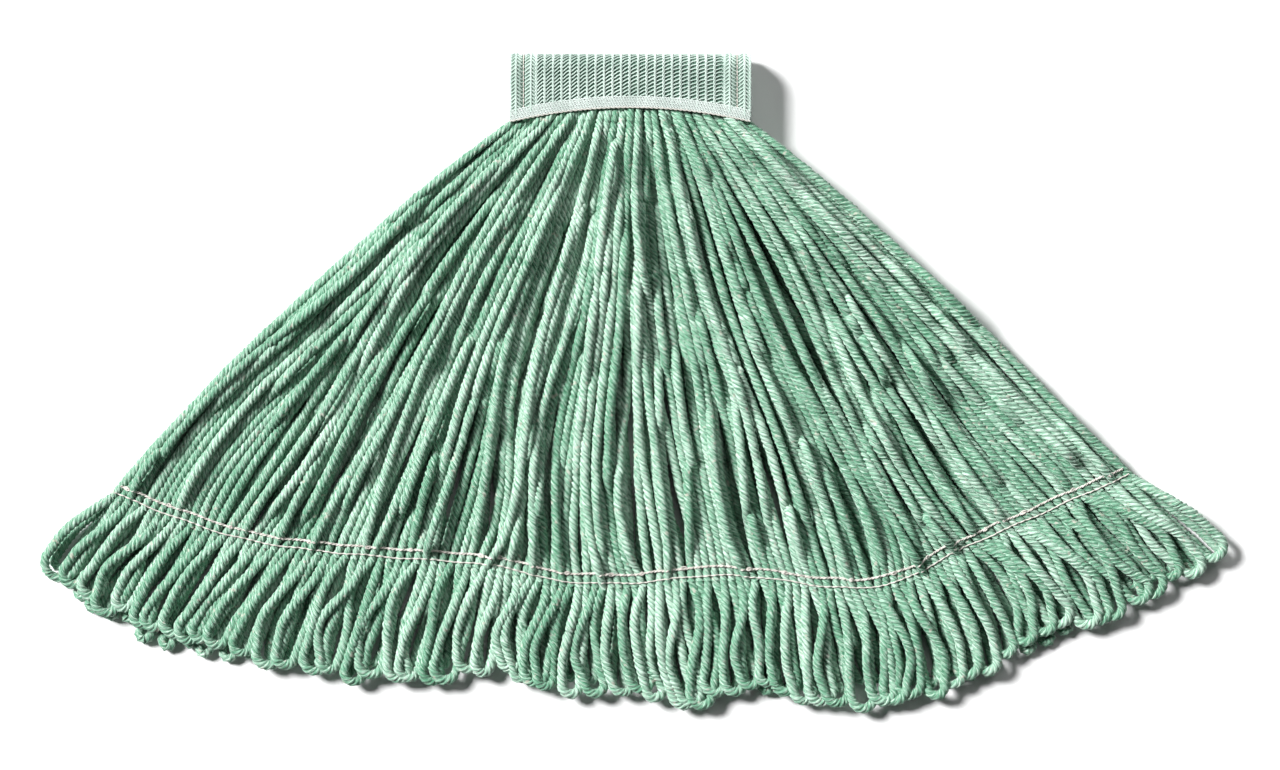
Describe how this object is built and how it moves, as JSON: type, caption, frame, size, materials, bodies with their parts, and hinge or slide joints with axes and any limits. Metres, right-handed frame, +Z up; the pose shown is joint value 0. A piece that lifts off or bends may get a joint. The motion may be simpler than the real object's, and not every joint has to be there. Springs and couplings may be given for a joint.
{
  "type": "looped-end wet mop head",
  "caption": "String mop head of twisted yarn folded through a knitted mesh headband, fanned flat in two layers with a stitched tailband and a looped fringe.",
  "frame": {"origin": "middle of the head's footprint, on the floor it lies on", "axes": "+X across the fan, +Y from the fringe to the headband, +Z up from the floor"},
  "size_m": [0.7494, 0.4116, 0.0292],
  "materials": {
    "yarn": "matte",
    "mesh": "matte",
    "tape": "matte",
    "thread": "matte"
  },
  "bodies": {
    "back_skirt": {"back_yarn_1": "yarn", "back_yarn_2": "yarn", "back_yarn_3": "yarn", "back_yarn_4": "yarn", "back_yarn_5": "yarn", "back_yarn_6": "yarn", "back_yarn_7": "yarn", "back_yarn_8": "yarn", "back_yarn_9": "yarn", "back_yarn_10": "yarn", "back_fringe_1": "yarn", "back_fringe_2": "yarn", "back_fringe_3": "yarn", "back_fringe_4": "yarn", "back_fringe_5": "yarn", "back_tail_thread_lower": "thread", "back_tail_thread_upper": "thread"},
    "headband": {"headband_mesh": "mesh", "left_hem": "mesh", "right_hem": "mesh", "left_hem_thread": "thread", "right_hem_thread": "thread", "front_seam_tape": "tape", "back_seam_tape": "tape", "front_seam_thread": "thread", "back_seam_thread": "thread", "yarn_fold_1": "yarn", "yarn_fold_2": "yarn", "yarn_fold_3": "yarn", "yarn_fold_4": "yarn", "yarn_fold_5": "yarn", "yarn_fold_6": "yarn", "yarn_fold_7": "yarn", "yarn_fold_8": "yarn", "yarn_fold_9": "yarn", "yarn_fold_10": "yarn"},
    "front_skirt": {"front_yarn_1": "yarn", "front_yarn_2": "yarn", "front_yarn_3": "yarn", "front_yarn_4": "yarn", "front_yarn_5": "yarn", "front_yarn_6": "yarn", "front_yarn_7": "yarn", "front_yarn_8": "yarn", "front_yarn_9": "yarn", "front_yarn_10": "yarn", "front_tail_thread_lower": "thread", "front_tail_thread_upper": "thread"},
    "front_fringe_group_1": {"front_fringe_1": "yarn"},
    "front_fringe_group_2": {"front_fringe_2": "yarn"},
    "front_fringe_group_3": {"front_fringe_3": "yarn"},
    "front_fringe_group_4": {"front_fringe_4": "yarn"},
    "front_fringe_group_5": {"front_fringe_5": "yarn"}
  },
  "joints": [
    {"name": "headband_fold", "type": "hinge", "parent": "back_skirt", "child": "headband", "pos_m": [-0.00006, 0.16306, 0.0289], "axis": [1, 0, 0], "range_deg": [0, 90]},
    {"name": "front_skirt_lift", "type": "hinge", "parent": "back_skirt", "child": "front_skirt", "pos_m": [-0.00006, 0.16306, 0.0289], "axis": [-1, 0, 0], "range_deg": [0, 75]},
    {"name": "front_fringe_1_flip", "type": "hinge", "parent": "front_skirt", "child": "front_fringe_group_1", "pos_m": [-0.27735, -0.09173, 0.0136], "axis": [-0.9504, 0.3109, 0], "range_deg": [0, 60]},
    {"name": "front_fringe_2_flip", "type": "hinge", "parent": "front_skirt", "child": "front_fringe_group_2", "pos_m": [-0.15879, -0.11574, 0.0136], "axis": [-0.995, 0.0995, 0], "range_deg": [0, 60]},
    {"name": "front_fringe_3_flip", "type": "hinge", "parent": "front_skirt", "child": "front_fringe_group_3", "pos_m": [-0.01628, -0.12724, 0.0136], "axis": [-0.9979, 0.0644, 0], "range_deg": [0, 60]},
    {"name": "front_fringe_4_flip", "type": "hinge", "parent": "front_skirt", "child": "front_fringe_group_4", "pos_m": [0.11874, -0.13274, 0.0136], "axis": [-1, 0.0087, 0], "range_deg": [0, 60]},
    {"name": "front_fringe_5_flip", "type": "hinge", "parent": "front_skirt", "child": "front_fringe_group_5", "pos_m": [0.24938, -0.09771, 0.0136], "axis": [-0.8993, -0.4373, 0], "range_deg": [0, 60]}
  ]
}
